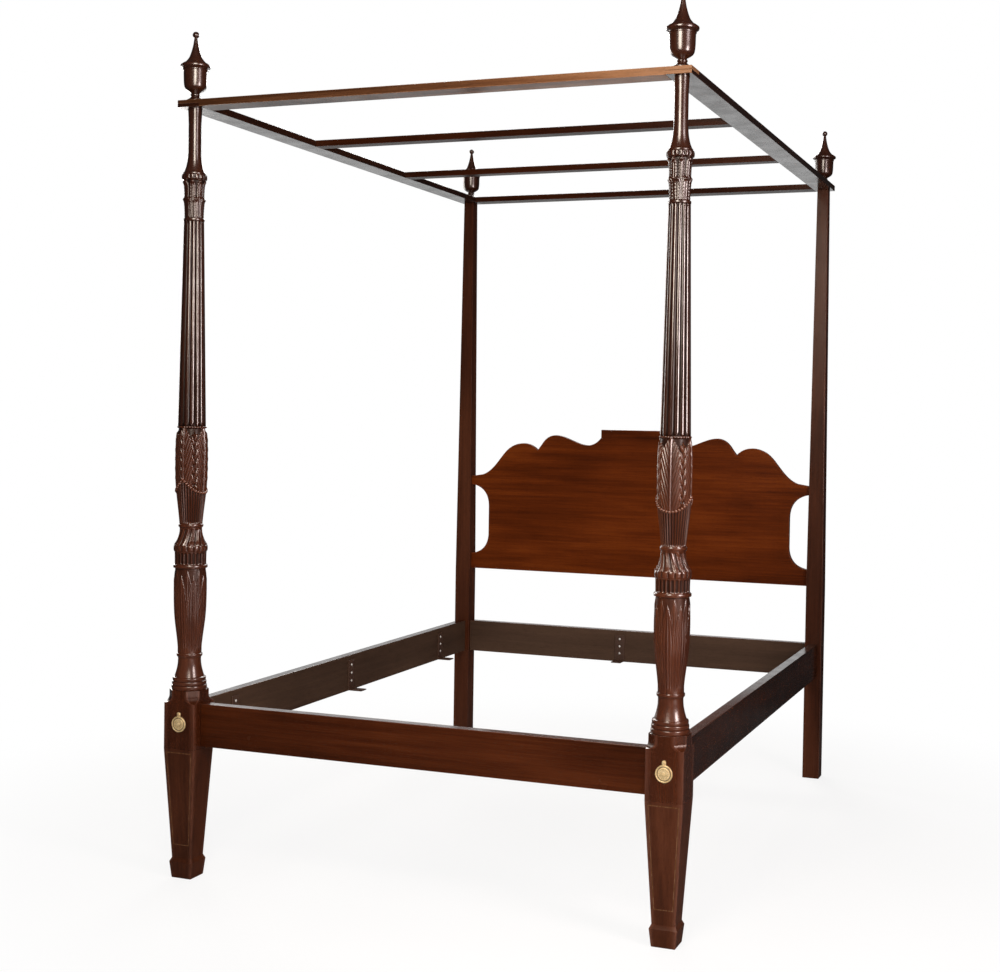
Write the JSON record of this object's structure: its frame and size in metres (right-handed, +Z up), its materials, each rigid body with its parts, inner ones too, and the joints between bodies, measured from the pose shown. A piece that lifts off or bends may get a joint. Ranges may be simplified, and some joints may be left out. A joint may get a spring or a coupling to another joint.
{
  "type": "four-poster rice bed",
  "caption": "Four-poster rice bed with carved and reeded foot posts, plain head posts, a shaped headboard, bolted rails, swinging bolt covers and a lift-off tester frame with urn finials.",
  "frame": {"origin": "floor level, midway between the bed's outermost faces across and along", "axes": "+Z up, +Y from the foot towards the head, +X to the right seen from the foot"},
  "size_m": [1.53, 2.054, 2.411],
  "materials": {
    "mahogany": "dark reddish-brown, glossy lacquer",
    "rail_wood": "dark brown, satin",
    "stringing": "light inlay under lacquer",
    "brass": "polished, pale gold",
    "iron": "dark brown, dull",
    "steel": "plain"
  },
  "bodies": {
    "bedstead": {"foot_post_right": "mahogany", "foot_post_left": "mahogany", "head_post_right": "mahogany", "head_post_left": "mahogany", "foot_rail": "mahogany", "head_rail": "rail_wood", "side_rail_right": "rail_wood", "side_rail_left": "rail_wood", "headboard": "mahogany", "leg_stringing": "stringing", "bed_bolts": "steel", "bed_bolt_nuts": "steel", "cover_pins": "brass", "bed_iron_1_right": "iron", "bed_iron_1_left": "iron", "bed_iron_2_right": "iron", "bed_iron_2_left": "iron", "bed_iron_3_right": "iron", "bed_iron_3_left": "iron", "bed_iron_head": "iron", "bed_iron_screws": "steel", "tester_pins": "steel"},
    "tester": {"tester_side_rail_right": "mahogany", "tester_side_rail_left": "mahogany", "tester_foot_rail": "mahogany", "tester_head_rail": "mahogany", "tester_slat_1": "mahogany", "tester_slat_2": "mahogany", "tester_slat_screws": "steel"},
    "cover_foot_right": {"bolt_cover_foot_right": "brass"},
    "cover_foot_left": {"bolt_cover_foot_left": "brass"},
    "cover_head_right": {"bolt_cover_head_right": "brass"},
    "cover_head_left": {"bolt_cover_head_left": "brass"},
    "finial_foot_right": {"finial_foot_right": "mahogany"},
    "finial_foot_left": {"finial_foot_left": "mahogany"},
    "finial_head_right": {"finial_head_right": "mahogany"},
    "finial_head_left": {"finial_head_left": "mahogany"}
  },
  "joints": [
    {"name": "tester_lift", "type": "slide", "parent": "bedstead", "child": "tester", "axis": [0, 0, 1], "range_m": [0, 0.1]},
    {"name": "finial_foot_right_lift", "type": "slide", "parent": "tester", "child": "finial_foot_right", "axis": [0, 0, 1], "range_m": [0, 0.06]},
    {"name": "finial_foot_left_lift", "type": "slide", "parent": "tester", "child": "finial_foot_left", "axis": [0, 0, 1], "range_m": [0, 0.06]},
    {"name": "finial_head_right_lift", "type": "slide", "parent": "tester", "child": "finial_head_right", "axis": [0, 0, 1], "range_m": [0, 0.06]},
    {"name": "finial_head_left_lift", "type": "slide", "parent": "tester", "child": "finial_head_left", "axis": [0, 0, 1], "range_m": [0, 0.06]},
    {"name": "cover_foot_right_swing", "type": "hinge", "parent": "bedstead", "child": "cover_foot_right", "pos_m": [0.715, -1.01885, 0.475], "axis": [0, 1, 0], "continuous": true},
    {"name": "cover_foot_left_swing", "type": "hinge", "parent": "bedstead", "child": "cover_foot_left", "pos_m": [-0.715, -1.01885, 0.475], "axis": [0, 1, 0], "continuous": true},
    {"name": "cover_head_right_swing", "type": "hinge", "parent": "bedstead", "child": "cover_head_right", "pos_m": [0.715, 1.01885, 0.475], "axis": [0, 1, 0], "continuous": true},
    {"name": "cover_head_left_swing", "type": "hinge", "parent": "bedstead", "child": "cover_head_left", "pos_m": [-0.715, 1.01885, 0.475], "axis": [0, 1, 0], "continuous": true}
  ]
}
